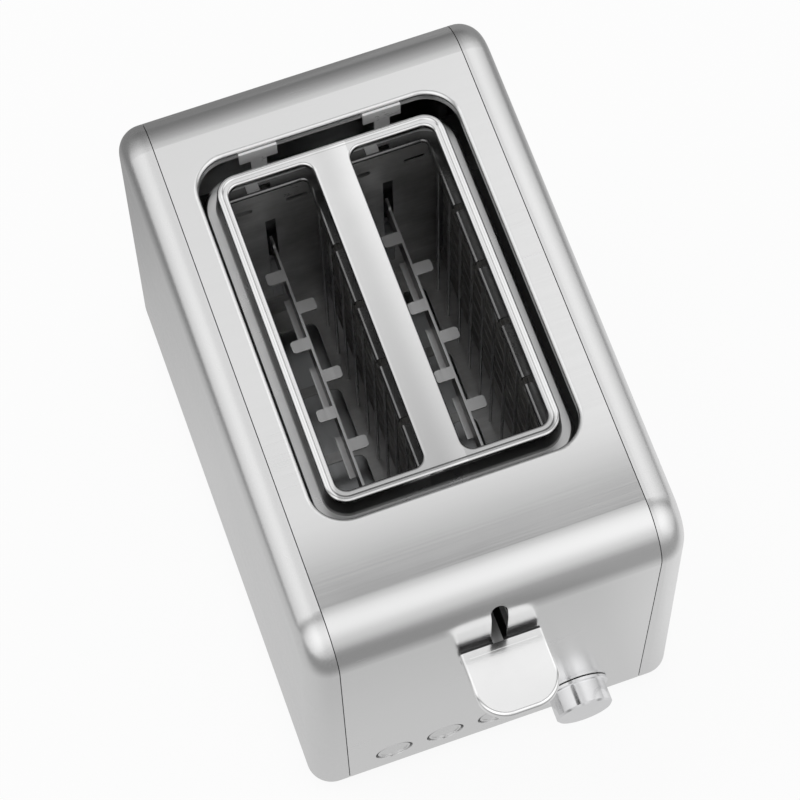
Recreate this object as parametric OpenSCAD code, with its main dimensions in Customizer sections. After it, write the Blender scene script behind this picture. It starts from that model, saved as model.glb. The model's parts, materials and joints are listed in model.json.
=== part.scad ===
// Two-slot pop-up toaster with a wrapped steel shell, two side panels, a raised
// slot frame and a front-mounted carriage lever. X runs across the width, Y from
// the control end (-Y) to the cord end (+Y), Z up from the table.

/* [Housing] */
// Length of the steel shell from the control end to the cord end
body_l = 276; // [270:1:300]
// Width of the steel shell between the two side panels
shell_w = 147; // [142:1:160]
// Height of the top face above the table
body_h = 198; // [190:1:215]
// Radius of the long bends between the top and the two ends
corner_r = 23; // [12:1:30]
// Thickness of the steel sheet of the shell
sheet_t = 1; // [0.6:0.1:1.4]
// Width of the seam between the shell and a side panel
seam_gap = 0.4; // [0.2:0.1:0.8]
// Depth of a side panel beyond the shell at the top
panel_w = 14; // [12:0.5:18]
// Radius of a side panel's rounded edge
panel_edge_r = 12; // [8:0.5:12]
// Wall of a side panel
panel_wall = 2; // [1.2:0.1:2.4]
// Outward lean of a side panel, in degrees
panel_lean = 1; // [0:0.25:1.5]
// Depth of the turned-in flange along the shell's side edges
flange_d = 7; // [4:0.5:9]

/* [Bread slots] */
// Width of a bread slot
slot_w = 40.2; // [36:0.1:41]
// Length of a bread slot
slot_l = 154; // [146:1:156]
// Width of the bridge between the two slots
bridge_w = 17.5; // [16:0.1:18]
// Corner radius of a bread slot
slot_r = 5.5; // [4:0.5:8]
// Distance of the slots' centre behind the body's centre
slot_y = 10.5; // [6:0.5:14]

/* [Slot frame] */
// Width of the flat land outside the slots, at the sides
land_side = 5.05; // [4.6:0.05:6]
// Width of the flat land beyond the slots, at the ends
land_end = 5.5; // [4.5:0.5:7]
// Corner radius of the raised rim
rim_r = 10; // [8:0.5:12]
// Depth of the rim below the shell's top face
rim_drop = 2.8; // [1:0.1:4]
// Radius of the rolled bead on the rim
bead_r = 1.6; // [1.2:0.1:1.8]
// Width of the lower ledge outside the rim
ledge_w = 6.4; // [5:0.2:7]
// Depth of the ledge below the shell's top face
ledge_drop = 18; // [15:0.5:20]
// Thickness of the frame's sheet
frame_t = 1.2; // [0.8:0.1:1.5]
// Gap between the ledge and the shell's opening, at the sides
open_gap_side = 1.1; // [1:0.1:2.5]
// Gap between the ledge and the shell's opening, at the ends
open_gap_end = 1.8; // [1.7:0.1:3]
// Corner radius of the shell's opening
open_r = 16; // [14:0.5:20]
// Depth of the shell's turned-down lip round the opening
lip_d = 5.5; // [4:0.5:7]

/* [Heating chassis] */
// Depth of the chassis top plate below the shell's top face
plate_drop = 31; // [27:1:36]
// Reach of the castellated tabs past the edge of a bread slot
tab_reach = 1; // [0.5:0.1:2]
// Distance of the tabbed openings outside the middle of their slots
tab_shift = 0.25; // [0:0.05:0.5]
// Pitch of the castellations
notch_pitch = 30; // [28:0.5:31]
// Width of a notch between two castellated tabs
notch_w = 3.6; // [2:0.2:5]
// Depth of the turned-down edge of a castellated tab
tab_drop = 4; // [3:0.5:5]
// Distance from the end of a bread slot to a chassis end plate
end_clear = 5.3; // [4:0.1:7]
// Thickness of the chassis sheet
chassis_t = 1; // [0.8:0.1:1.2]
// Height of the chassis bottom plate above the table
bottom_z = 26; // [24:1:30]
// Overall width of the chassis
chassis_w = 134; // [130:1:138]
// Distance of an inner heater board from the middle plane
inner_board_x = 4; // [3.5:0.1:4.5]
// Distance of an outer heater board from the middle plane
outer_board_x = 55; // [53:0.5:57]
// Thickness of a mica heater board
board_t = 0.6; // [0.4:0.1:0.8]
// Turns of heating ribbon on a board
ribbon_turns = 8; // [4:1:10]
// Width of the heating ribbon
ribbon_w = 1.8; // [1:0.2:2.4]
// Thickness of the heating ribbon
ribbon_t = 0.25; // [0.2:0.05:0.35]
// Diameter of a bread guard wire
wire_d = 1.6; // [1.2:0.2:2]
// Guard wires in a row
wire_count = 10; // [6:2:10]

/* [Bread carriage] */
// Depth of the raised carriage below the shell's top face
rack_drop = 88; // [84:1:100]
// Travel of the carriage and its lever
travel = 47; // [35:1:50]
// Height of a carriage strip
rack_h = 14; // [10:1:16]
// Distance of a carriage strip outside the middle of its slot
rack_shift = 0.2; // [0:0.1:1.5]
// Thickness of a carriage strip
rack_t = 1.2; // [0.8:0.1:1.5]
// Pitch of the bent tabs on one side of a carriage strip
rack_pitch = 36.7; // [34:0.1:38]
// Reach of a bent tab from the strip's middle
tab_w = 9.1; // [7:0.1:11]
// Length of a bent tab along the strip
tab_l = 6.2; // [5:0.2:9]
// Diameter of the carriage's guide rod
rod_d = 6; // [5:0.5:8]
// Running clearance of rods and shafts, on the radius
run_gap = 0.05; // [0.02:0.01:0.08]

/* [Lever] */
// Distance of the lever from the middle plane
lever_x = -0.8; // [-2:0.1:2]
// Depth of the paddle's top below the shell's top face
lever_drop = 45.3; // [42:0.1:50]
// Width of the lever's slot in the front of the shell
lever_slot_w = 7.7; // [6:0.1:9]
// Depth of the slot's upper end below the shell's top face
lever_slot_top = 12; // [8:0.5:24]
// Width of the lever's arm
arm_w = 4.8; // [4:0.1:5.5]
// Distance of the arm's middle to the left of the lever's middle
arm_shift = 1.1; // [0:0.1:1.2]
// Thickness of the lever's arm
arm_t = 2; // [1.5:0.1:2.5]
// Width of the paddle
paddle_w = 38.6; // [32:0.2:42]
// Length of the paddle
paddle_l = 33; // [28:0.5:36]
// Radius of the paddle's front corners
paddle_r = 14; // [10:0.5:16]
// Thickness of the paddle's edge
paddle_t = 4.6; // [4:0.1:6]
// Gap between the paddle and the front of the shell
paddle_gap = 2.6; // [2.2:0.1:4]
// Height of the shield behind the paddle
shield_h = 15; // [8:1:20]

/* [Controls] */
// Height of the row of buttons and of the knob above the table
row_z = 26; // [24:1:32]
// Distance of the first button from the middle plane
button_x = -51; // [-54:0.5:-48]
// Pitch of the three buttons
button_pitch = 25.6; // [22:0.1:26]
// Diameter of a button
button_d = 16; // [13:0.5:16.5]
// Width of the groove round a button
groove_w = 1.25; // [0.8:0.05:1.5]
// Travel of a button
button_travel = 1.5; // [1:0.1:2]
// Distance of the knob from the middle plane
knob_x = 40.4; // [38:0.2:46]
// Diameter of the knob
knob_d = 28; // [22:0.5:30]
// Length of the knob in front of the shell
knob_l = 13; // [10:0.5:20]
// Diameter of the knob's rear flange
knob_flange_d = 31.4; // [31:0.2:34]
// Diameter of the knob's shaft
shaft_d = 6; // [5:0.5:6]

/* [Base] */
// Height of the feet below the base
foot_h = 3.5; // [3:0.5:4.5]
// Diameter of a foot
foot_d = 18; // [12:1:22]
// Thickness of the base's floor
base_t = 2.5; // [1.5:0.5:2.5]
// Height of the base's upright rim above its floor
base_rim_h = 7; // [4:1:7]
// Width of the crumb tray
tray_w = 116; // [108:1:117]
// Height of the crumb tray's lips
tray_h = 6; // [4:0.5:7]
// Travel of the crumb tray
tray_travel = 190; // [120:5:195]

/* [Hidden] */

$fn = 64;
eps = 0.01;
big = 400;

// Housing: mid_y puts the origin midway between the paddle and the cord inlet
inlet_flange_t = 2;
mid_y = (paddle_gap + paddle_l - inlet_flange_t) / 2;
front_y = mid_y - body_l / 2;
back_y = mid_y + body_l / 2;
slots_y = mid_y + slot_y;
side_x = shell_w / 2 + seam_gap;
panel_leg = panel_w - panel_edge_r;
floor_z = foot_h + base_t;
shell_z = floor_z;
panel_low_x = shell_w / 2 + panel_w + (body_h - shell_z) * tan(panel_lean);
panel_rib_t = 1.6;
panel_rib_pitch = 90;
boss_r = 4;
boss_bore_r = 1.5;
boss_y = 60;
boss_low_z = 48;
boss_drop = 48;

// Slot frame and opening
slot_x = (bridge_w + slot_w) / 2;
rim_w = bridge_w + 2 * slot_w + 2 * land_side;
rim_l = slot_l + 2 * land_end;
open_w = rim_w + 2 * (ledge_w + open_gap_side);
open_l = rim_l + 2 * (ledge_w + open_gap_end);
lip_r = sheet_t + 0.9;
rim_z = body_h - rim_drop;
ledge_z = body_h - ledge_drop;
land_z = rim_z - 0.8;
slot_edge_r = frame_t + 0.1;
slot_edge_d = slot_edge_r + 1.3;
wall_slant = 1.4;
hook_x = 29.5;
hook_w = 18;
hook_neck_w = 7.4;
hook_top = body_h - 1.5;
hook_head_h = 9;
hook_gap = (open_gap_end - frame_t) / 2;
frame_foot_w = 6;
frame_foot_l = 3.6;
frame_foot_shift = 6;

// Chassis
plate_z = body_h - plate_drop;
chamber_l = slot_l + 2 * end_clear;
front_plate_y = slots_y - chamber_l / 2;
rear_plate_y = slots_y + chamber_l / 2;
chamber_in = bridge_w / 2 + tab_reach + tab_shift;
chamber_out = bridge_w / 2 + slot_w - tab_reach + tab_shift;
chamber_w = chamber_out - chamber_in;
chamber_x = (chamber_in + chamber_out) / 2;
chamber_r = 2.5;
tab_bend_r = chassis_t + 0.5;
tab_seat = 0.2;
plate_land = 1.5;
plate_l = rim_l + 2 * (ledge_w + plate_land);
key_hole_w = 5.2;
key_hole_l = 2.2;
key_hole_gap = 0.2;
notch_count = 4;
notch_depth = 5;
reflector_x = outer_board_x + 5;
board_z0 = bottom_z + 12;
board_z1 = plate_z - 6;
board_lug_h = 8;
ribbon_margin = 9;
wire_in = chamber_in - wire_d / 2;
wire_out = chamber_out + wire_d / 2;
base_z = foot_h;
tray_bay_w = tray_w + 6;
tray_bay_h = 11;
rack_slot_w = 5;
rack_slot_drop = 31;
dash_w = 11;
dash_h = 4;
dash_x = 13.6;
dash_drop = 15.5;

// Carriage
rack_z = body_h - rack_drop;
rack_x = slot_x + rack_shift;
rack_z0 = rack_z - rack_h;
slider_gap = 4;
rack_front_y = front_plate_y - chassis_t - slider_gap;
rack_first_y = rear_plate_y - 17.5;
rack_tabs = 3;
stop_gap = 3;
slider_y = rack_front_y;
slider_t = 2;
slider_w = 2 * rack_x + 8;
slider_h = rack_h - 4;
sleeve_h = 30;
sleeve_wall = 2.5;
sleeve_r = rod_d / 2 + sleeve_wall;
rod_y = rack_front_y - slider_t - sleeve_r + 0.5;
paddle_skin = 1.1;
arm_x = lever_x - arm_shift;
arm_z = body_h - lever_drop - paddle_skin - arm_t;
mast_w = 22;
spring_x = 21;
spring_r = 4;
spring_wire_r = 0.6;
spring_coils = 12;
spring_top_z = plate_z - 5;
spring_foot_z = rack_z + 9;
ear_t = 2;

// Lever
paddle_y = front_y - paddle_gap;
paddle_z = body_h - lever_drop;
paddle_edge_r = 1.6;
lever_slot_z0 = arm_z - travel - 4;
core_gap = 0.3;
shield_t = 1.4;
shield_inset = 1;
arm_pocket = 6;

// Controls
panel_in_y = front_y + sheet_t;
guide_t = 2.5;
button_hole_r = button_d / 2 + groove_w;
button_face_y = front_y + 0.3;
button_head_l = 4;
button_flange_t = 1;
board_gap = 16;
board_y = front_y + board_gap;
pcb_t = 1.6;
switch_d = 3.2;
plunger_l = 1;
knob_back_y = front_y - 0.4;
knob_flange_t = 1.8;
knob_bevel = 0.9;
pot_d = 20;
pot_l = 9;
pcb_left = 12;
pcb_right = 17;
pcb_lift = 5;
pcb_rise = 34;
pcb_x0 = button_x - pcb_left;
pcb_x1 = knob_x + pcb_right;
pcb_z0 = floor_z + pcb_lift;
pcb_z1 = row_z + pcb_rise;
pcb_margin = 8;
pcb_hole_r = 1.6;
relay_w = 18;
relay_h = 16;
relay_d = 14;
plug_h = 11;
plug_d = 10;
capacitor_r = 4;
capacitor_l = 9;
switch_w = 6;
magnet_h = 20;
magnet_w = 26;
magnet_d = 10;
magnet_leg = 5;
magnet_cover = 2;
coil_w = magnet_w - 2 * magnet_leg - 1.4;
magnet_y = rod_y - sleeve_r - 0.5 - magnet_d / 2;
magnet_z1 = rack_z0 - travel - 0.3;
latch_t = 2;

// Base
base_w = 2 * panel_low_x - 1.6;
base_l = body_l - 2;
base_r = 13;
rim_wall = 2;
rim_gap = 0.4;
tray_t = 0.8;
tray_z = floor_z + 2;
tray_y0 = front_plate_y + 3;
handle_l = 8;
notch_top_z = floor_z + tray_bay_h;
foot_stud_r = 3;
foot_x = shell_w / 2 - 6;
foot_y = body_l / 2 - 26;
screw_x = shell_w / 2 + 4;
screw_y = body_l / 2 - 14;
screw_r = 1.6;
post_r = 4;
post_h = 13;
vent_x = 24;
vent_y = front_y + 34;
vent_w = 3;
vent_l = 26;
vent_pitch = 9;
side_vent_x = shell_w / 2 - 3.5;
side_vent_y = mid_y - 54;
side_vent_w = 5;
side_vent_l = 8;
side_vent_pitch = 14;
inlet_x = -shell_w / 2 + 20;
inlet_z = row_z + 6;
inlet_hole_r = 6.5;
inlet_bore_r = 3.6;

// Colours
steel = [0.78, 0.78, 0.78];
satin = [0.74, 0.74, 0.75];
bright = [0.88, 0.88, 0.9];
galvanised = [0.6, 0.61, 0.62];
black = [0.09, 0.09, 0.09];
mica = [0.62, 0.55, 0.42];
copper = [0.65, 0.36, 0.2];

// ---- Shared shapes -------------------------------------------------------

// Flat rounded rectangle, w across X and l along Y
module rounded(w, l, r) {
    square([w - 2 * r, l], center = true);
    square([w, l - 2 * r], center = true);
    for (sx = [-1, 1], sy = [-1, 1])
        translate([sx * (w / 2 - r), sy * (l / 2 - r)]) circle(r);
}

// Sweeps a profile round a rounded rectangle: profile x points outwards, y up
module sweep_round(w, l, r) {
    for (s = [0, 1]) {
        rotate(180 * s) translate([w / 2, 0, 0]) rotate([90, 0, 0])
            linear_extrude(l - 2 * r, center = true) children();
        rotate(90 + 180 * s) translate([l / 2, 0, 0]) rotate([90, 0, 0])
            linear_extrude(w - 2 * r, center = true) children();
    }
    for (q = [0:3])
        translate([(q == 0 || q == 3 ? 1 : -1) * (w / 2 - r),
                   (q < 2 ? 1 : -1) * (l / 2 - r), 0])
            rotate(90 * q) rotate_extrude(angle = 90) translate([r, 0]) children();
}

// Quarter of a flat ring in the first quadrant
module quarter(r_out, r_in) {
    intersection() {
        difference() {
            circle(r_out);
            circle(r_in);
        }
        square(r_out + 1);
    }
}

// End view of the shell, standing on its lower edge and inset by d
module shell_outline(d) {
    r = corner_r - d;
    low = shell_z - (d > 0 ? 1 : 0);
    translate([front_y + d, low]) square([body_l - 2 * d, body_h - corner_r - low]);
    translate([front_y + corner_r, low]) square([body_l - 2 * corner_r, body_h - d - low]);
    for (s = [-1, 1])
        translate([mid_y + s * (body_l / 2 - corner_r), body_h - corner_r]) circle(r);
}

// Extrudes a (y, z) outline along X, centred
module along_x(length) {
    rotate([90, 0, 90]) linear_extrude(length, center = true) children();
}

// Round bar or hole along Y, from y0 to y1
module bar_y(x, z, r, y0, y1) {
    translate([x, y0, z]) rotate([-90, 0, 0]) cylinder(r = r, h = y1 - y0);
}

// Box given by its low and high corners
module block(low, high) {
    translate(low) cube(high - low);
}

// ---- Housing -------------------------------------------------------------

// Lip of the opening: the sheet rolls over and turns down
module opening_lip() {
    translate([lip_r, -lip_r]) mirror([1, 0]) quarter(lip_r, lip_r - sheet_t);
    translate([0, -lip_d]) square([sheet_t, lip_d - lip_r]);
}

// Hole for the lever, with round ends
module lever_slot() {
    z0 = lever_slot_z0 + lever_slot_w / 2;
    z1 = body_h - lever_slot_top - lever_slot_w / 2;
    translate([lever_x - lever_slot_w / 2, front_y - 1, z0])
        cube([lever_slot_w, corner_r + 1, z1 - z0]);
    for (z = [z0, z1])
        bar_y(lever_x, z, lever_slot_w / 2, front_y - 1, front_y + corner_r);
}

module top_shell() {
    color(steel) {
        difference() {
            along_x(shell_w) shell_outline(0);
            along_x(shell_w + 2) shell_outline(sheet_t);
            translate([0, slots_y, body_h - corner_r / 2])
                linear_extrude(corner_r)
                    rounded(open_w + 2 * lip_r, open_l + 2 * lip_r, open_r + lip_r);
            lever_slot();
            for (i = [0:2])
                bar_y(button_x + i * button_pitch, row_z, button_hole_r,
                      front_y - 1, front_y + 2);
            bar_y(knob_x, row_z, shaft_d / 2 + 1.5, front_y - 1, front_y + 2);
            bar_y(inlet_x, inlet_z, inlet_hole_r, back_y - 2, back_y + 1);
            block([-tray_bay_w / 2, back_y - 2, shell_z - 1],
                  [tray_bay_w / 2, back_y + 1, notch_top_z]);
        }
        translate([0, slots_y, body_h]) sweep_round(open_w, open_l, open_r) opening_lip();
        for (s = [-1, 1])
            translate([s * (shell_w - sheet_t) / 2, 0, 0])
                difference() {
                    along_x(sheet_t) shell_outline(sheet_t / 2);
                    along_x(sheet_t + 1) shell_outline(flange_d);
                    block([-1, -big, 0], [1, big, floor_z + base_rim_h + 2]);
                }
    }
}

// Outer skin of a side panel before it leans: a dished plate with a round edge
module panel_skin() {
    w = 2 * (body_h - panel_edge_r);
    l = body_l - 2 * panel_edge_r;
    r = corner_r - panel_edge_r;
    inner = panel_edge_r - panel_wall;
    rotate([0, 90, 0]) {
        sweep_round(w, l, r) {
            quarter(panel_edge_r, inner);
            translate([inner, -panel_leg - 5]) square([panel_wall, panel_leg + 5]);
        }
        translate([0, 0, inner]) linear_extrude(panel_wall) rounded(w, l, r);
    }
}

// Screw bosses and upright ribs on the inside of a side panel
module panel_inside() {
    top = panel_edge_r - panel_wall + 0.5;
    for (i = [-1:1])
        block([-panel_leg - 3, i * panel_rib_pitch - panel_rib_t / 2, shell_z + 12],
              [top, i * panel_rib_pitch + panel_rib_t / 2, body_h - 24]);
    for (s = [-1, 1], z = [boss_low_z, body_h - boss_drop])
        translate([-panel_leg - 3, s * boss_y, z]) rotate([0, 90, 0]) difference() {
            cylinder(r = boss_r, h = top + panel_leg + 3);
            translate([0, 0, -1]) cylinder(r = boss_bore_r, h = panel_leg + 8);
        }
}

// Posts that stand on the base and take the base screws
module screw_posts() {
    for (s = [-1, 1]) translate([screw_x, mid_y + s * screw_y, shell_z]) {
        cylinder(r = post_r, h = post_h);
        block([0, -0.8, base_rim_h + rim_gap], [panel_low_x - screw_x - 1, 0.8, post_h]);
    }
}

module side_panel() {
    difference() {
        union() {
            translate([shell_w / 2, mid_y, body_h]) rotate([0, -panel_lean, 0])
                translate([panel_leg, 0, -body_h]) {
                    panel_skin();
                    panel_inside();
                }
            screw_posts();
        }
        block([side_x - 40, -big, -big], [side_x, big, big]);
        block([side_x - 1, -big, -big], [big, big, shell_z]);
        for (s = [-1, 1]) translate([screw_x, mid_y + s * screw_y, shell_z - 1])
            cylinder(r = screw_r, h = post_h - 1);
    }
}

module right_side_panel() {
    color(satin) side_panel();
}

module left_side_panel() {
    color(satin) mirror([1, 0, 0]) side_panel();
}

// ---- Base ----------------------------------------------------------------

module foot_places() {
    for (sx = [-1, 1], sy = [-1, 1])
        translate([sx * foot_x, mid_y + sy * foot_y, 0]) children();
}

module screw_places() {
    for (sx = [-1, 1], sy = [-1, 1])
        translate([sx * screw_x, mid_y + sy * screw_y, 0]) children();
}

// Rectangular frame that stands on the floor inside the shell and the panels
module base_rim() {
    l = body_l - 2 * (panel_wall + rim_gap);
    w = 2 * (panel_low_x - base_rim_h * tan(panel_lean) - panel_wall - rim_gap);
    r = base_r - panel_wall;
    translate([0, mid_y, floor_z - eps]) linear_extrude(base_rim_h) difference() {
        rounded(w, l, r);
        rounded(w - 2 * rim_wall, l - 2 * rim_wall, r - rim_wall);
    }
}

// Blocks, posts and rails on the floor that carry the parts inside
module base_mounts() {
    z = floor_z - eps;
    for (s = [-1, 1])
        block([s * 50 - 1.5, tray_y0, z], [s * 50 + 1.5, back_y - 10, tray_z]);
    for (x = [pcb_x0 + 12, pcb_x1 - 12])
        block([x - 4, board_y - 4, z], [x + 4, board_y + pcb_t + 4, pcb_z0]);
    block([lever_x - magnet_w / 2 - 1, magnet_y - magnet_d / 2 - 1, z],
          [lever_x + magnet_w / 2 + 1, magnet_y + magnet_d / 2 + 1, magnet_z1 - magnet_h]);
    translate([lever_x, rod_y, z]) cylinder(r = rod_d / 2 + 3, h = 8);
}

module base_vents() {
    for (s = [-1, 1]) {
        for (i = [0:3])
            block([s * (i * vent_pitch + vent_x) - vent_w / 2, vent_y, 0],
                  [s * (i * vent_pitch + vent_x) + vent_w / 2, vent_y + vent_l, floor_z + 1]);
        for (i = [0:7])
            block([s * side_vent_x - side_vent_l / 2, side_vent_y + i * side_vent_pitch, 0],
                  [s * side_vent_x + side_vent_l / 2,
                   side_vent_y + i * side_vent_pitch + side_vent_w, floor_z + 1]);
    }
}

module base_frame() {
    color(black) difference() {
        union() {
            translate([0, mid_y, base_z]) linear_extrude(base_t)
                rounded(base_w, base_l, base_r);
            base_rim();
            base_mounts();
        }
        block([-tray_bay_w / 2, back_y - 12, floor_z], [tray_bay_w / 2, big, big]);
        foot_places() cylinder(r = foot_stud_r + 0.1, h = big);
        screw_places() cylinder(r = screw_r + 0.1, h = big);
        translate([lever_x, rod_y, floor_z]) cylinder(r = rod_d / 2, h = 20);
        base_vents();
    }
}

module rubber_feet() {
    color(black) foot_places() rotate_extrude() {
        difference() {
            square([foot_d / 2, foot_h]);
            translate([foot_d / 2, 0]) rotate(45) square(1.4, center = true);
        }
        square([foot_stud_r, floor_z]);
    }
}

module base_screws() {
    color(galvanised) screw_places() {
        translate([0, 0, base_z - 1.8]) cylinder(r = 3.6, h = 1.8);
        translate([0, 0, base_z - eps]) cylinder(r = screw_r, h = base_t + post_h - 4);
    }
}

module crumb_tray() {
    color(galvanised) difference() {
        block([-tray_w / 2, tray_y0, tray_z], [tray_w / 2, back_y - handle_l, tray_z + tray_h]);
        block([-tray_w / 2 + tray_t, tray_y0 + tray_t, tray_z + tray_t],
              [tray_w / 2 - tray_t, back_y - handle_l - tray_t, big]);
    }
}

module crumb_tray_handle() {
    z1 = notch_top_z - 0.5;
    grip_h = z1 - tray_z - 3;
    color(black) difference() {
        block([-tray_w / 2, back_y - handle_l, tray_z], [tray_w / 2, back_y - 0.2, z1]);
        translate([0, back_y + 1, tray_z + 1 + grip_h / 2]) rotate([90, 0, 0])
            linear_extrude(5) rounded(44, grip_h, grip_h / 2 - 0.2);
    }
}

module cord_inlet() {
    color(black) difference() {
        union() {
            bar_y(inlet_x, inlet_z, inlet_hole_r + 2.5, back_y, back_y + inlet_flange_t);
            bar_y(inlet_x, inlet_z, inlet_hole_r, back_y - 6, back_y + eps);
            bar_y(inlet_x, inlet_z, inlet_hole_r + 1.5, back_y - 6, back_y - sheet_t);
        }
        bar_y(inlet_x, inlet_z, inlet_bore_r, back_y - 7, back_y + 3);
    }
}

// ---- Slot frame ----------------------------------------------------------

// Section through the frame's edge: bead, slanted drop, ledge and skirt
module rim_section() {
    out = ledge_w;
    round_r = frame_t + 0.1;
    translate([-bead_r, rim_z - bead_r]) circle(bead_r);
    polygon([[-bead_r, rim_z - 2 * bead_r], [0, rim_z - bead_r], [wall_slant, ledge_z],
             [wall_slant, ledge_z - frame_t], [wall_slant - frame_t, ledge_z - frame_t]]);
    translate([wall_slant - eps, ledge_z - frame_t])
        square([out - round_r - wall_slant + 2 * eps, frame_t]);
    translate([out - round_r, ledge_z - round_r]) quarter(round_r, round_r - frame_t);
    translate([out - frame_t, plate_z]) square([frame_t, ledge_z - round_r + eps - plate_z]);
}

// Section through the turned-down edge of a bread slot
module slot_edge_section() {
    translate([slot_edge_r, land_z - slot_edge_r]) mirror([1, 0])
        quarter(slot_edge_r, slot_edge_r - frame_t);
    translate([0, land_z - slot_edge_d]) square([frame_t, slot_edge_d - slot_edge_r]);
}

// T-shaped hook that stands on the ledge behind the lip of the opening
module hook() {
    head_z = hook_top - hook_head_h;
    block([-hook_w / 2, 0, head_z], [hook_w / 2, frame_t, hook_top]);
    block([-hook_neck_w / 2, 0, ledge_z - frame_t], [hook_neck_w / 2, frame_t, head_z + eps]);
    block([-hook_neck_w / 2, -hook_gap - ledge_w / 2, ledge_z - frame_t],
          [hook_neck_w / 2, frame_t, ledge_z]);
}

// Foot at the bottom of the skirt that clamps the frame on the chassis top plate
module frame_foot() {
    y1 = rim_l / 2 + ledge_w - frame_t + eps;
    block([-frame_foot_w / 2, y1 - frame_foot_l, plate_z],
          [frame_foot_w / 2, y1, plate_z + frame_t]);
}

module slot_frame() {
    color(bright) translate([0, slots_y, 0]) {
        sweep_round(rim_w, rim_l, rim_r) rim_section();
        translate([0, 0, land_z - frame_t]) linear_extrude(frame_t) difference() {
            rounded(rim_w - 2 * bead_r, rim_l - 2 * bead_r, rim_r - bead_r);
            for (s = [-1, 1]) translate([s * slot_x, 0])
                rounded(slot_w + 2 * slot_edge_r, slot_l + 2 * slot_edge_r,
                        slot_r + slot_edge_r);
        }
        for (s = [-1, 1]) translate([s * slot_x, 0, 0])
            sweep_round(slot_w, slot_l, slot_r) slot_edge_section();
        for (s = [-1, 1]) translate([s * hook_x, rim_l / 2 + ledge_w + hook_gap, 0]) hook();
        for (s = [-1, 1], e = [0, 1])
            translate([s * slot_x - frame_foot_shift, 0, 0]) mirror([0, e, 0]) frame_foot();
    }
}

// ---- Heating chassis -----------------------------------------------------

// Rolled-down edge round a bread opening, with deeper tabs along its two long sides
module rolled_edge() {
    leg_l = chamber_l - 2 * chamber_r;
    sweep_round(chamber_w, chamber_l, chamber_r) {
        translate([tab_bend_r, -tab_bend_r]) mirror([1, 0])
            quarter(tab_bend_r, tab_bend_r - chassis_t);
        translate([tab_bend_r, -chassis_t]) square([tab_seat, chassis_t]);
    }
    for (m = [0, 1]) mirror([m, 0, 0])
        block([chamber_w / 2, -leg_l / 2, -tab_drop],
              [chamber_w / 2 + chassis_t, leg_l / 2, eps - tab_bend_r]);
}

// Notches that part the tabs of the right-hand bread opening
module tab_notches() {
    for (i = [0:notch_count - 1]) {
        y = slots_y + (i - (notch_count - 1) / 2) * notch_pitch;
        block([chamber_in - notch_depth, y - notch_w / 2, -tab_drop - 1],
              [chamber_in + 1, y + notch_w / 2, 1]);
        block([chamber_out - 1, y - notch_w / 2, -tab_drop - 1],
              [chamber_out + notch_depth, y + notch_w / 2, 1]);
    }
}

// Flat sheet of the top plate, with a hole beside each foot of the slot frame
module plate_sheet() {
    bend = 2 * tab_bend_r;
    hole_x = (frame_foot_w + key_hole_w) / 2 + key_hole_gap - frame_foot_shift;
    hole_y = rim_l / 2 + ledge_w - frame_t - frame_foot_l + key_hole_l / 2;
    difference() {
        square([chassis_w, plate_l], center = true);
        for (s = [-1, 1]) {
            translate([s * chamber_x, 0])
                rounded(chamber_w + bend, chamber_l + bend, chamber_r + tab_bend_r);
            for (e = [-1, 1]) translate([s * slot_x + hole_x, e * hole_y])
                square([key_hole_w, key_hole_l], center = true);
        }
    }
}

module chassis_top_plate() {
    color(galvanised) translate([0, 0, plate_z]) difference() {
        union() {
            translate([0, slots_y, -chassis_t]) linear_extrude(chassis_t) plate_sheet();
            for (s = [-1, 1]) translate([s * chamber_x, slots_y, 0]) rolled_edge();
        }
        for (m = [0, 1]) mirror([m, 0, 0]) tab_notches();
    }
}

module chassis_bottom_plate() {
    bars = 4;
    bay_l = chamber_l - 16;
    step = bay_l / bars;
    color(galvanised) difference() {
        block([-chassis_w / 2 + 3, front_plate_y, bottom_z],
              [chassis_w / 2 - 3, rear_plate_y, bottom_z + chassis_t]);
        for (s = [-1, 1], i = [0:bars - 1])
            translate([s * slot_x, slots_y - bay_l / 2 + (i + 0.5) * step, bottom_z - 1])
                linear_extrude(chassis_t + 2) rounded(slot_w - 12, step - 5, 4);
    }
}

// Upright end plate of the chassis under the rolled edges of the top plate, with its
// inner face at y = 0 and the sheet behind it
module end_plate() {
    dash_z = plate_z - dash_drop;
    difference() {
        block([-chassis_w / 2, 0, floor_z], [chassis_w / 2, chassis_t, plate_z - tab_bend_r]);
        block([-tray_bay_w / 2, -1, 0], [tray_bay_w / 2, chassis_t + 1, notch_top_z + 3]);
        for (s = [-1, 1]) {
            block([s * rack_x - rack_slot_w / 2, -1, rack_z0 - travel - stop_gap],
                  [s * rack_x + rack_slot_w / 2, chassis_t + 1, plate_z - rack_slot_drop]);
            for (d = [-1, 1])
                translate([s * slot_x + d * dash_x, chassis_t + 1, dash_z]) rotate([90, 0, 0])
                    linear_extrude(chassis_t + 2) rounded(dash_w, dash_h, dash_h / 2 - 0.2);
        }
    }
}

// Shelf on the front plate that carries the guide rod and the spring's hook
module front_shelf() {
    z = plate_z - chassis_t - 3;
    difference() {
        block([lever_x - 14, rod_y - 7, z], [spring_x + lever_x + 8, front_plate_y, z + 2]);
        translate([lever_x, rod_y, z - 1]) cylinder(r = rod_d / 2, h = 4);
    }
}

module front_end_plate() {
    color(galvanised) {
        translate([0, front_plate_y, 0]) mirror([0, 1, 0]) end_plate();
        front_shelf();
    }
}

module rear_end_plate() {
    color(galvanised) translate([0, rear_plate_y, 0]) end_plate();
}

module reflector() {
    block([reflector_x, front_plate_y, bottom_z + chassis_t],
          [reflector_x + chassis_t, rear_plate_y, plate_z - chassis_t]);
}

module right_reflector() {
    color(galvanised) reflector();
}

module left_reflector() {
    color(galvanised) mirror([1, 0, 0]) reflector();
}

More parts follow.
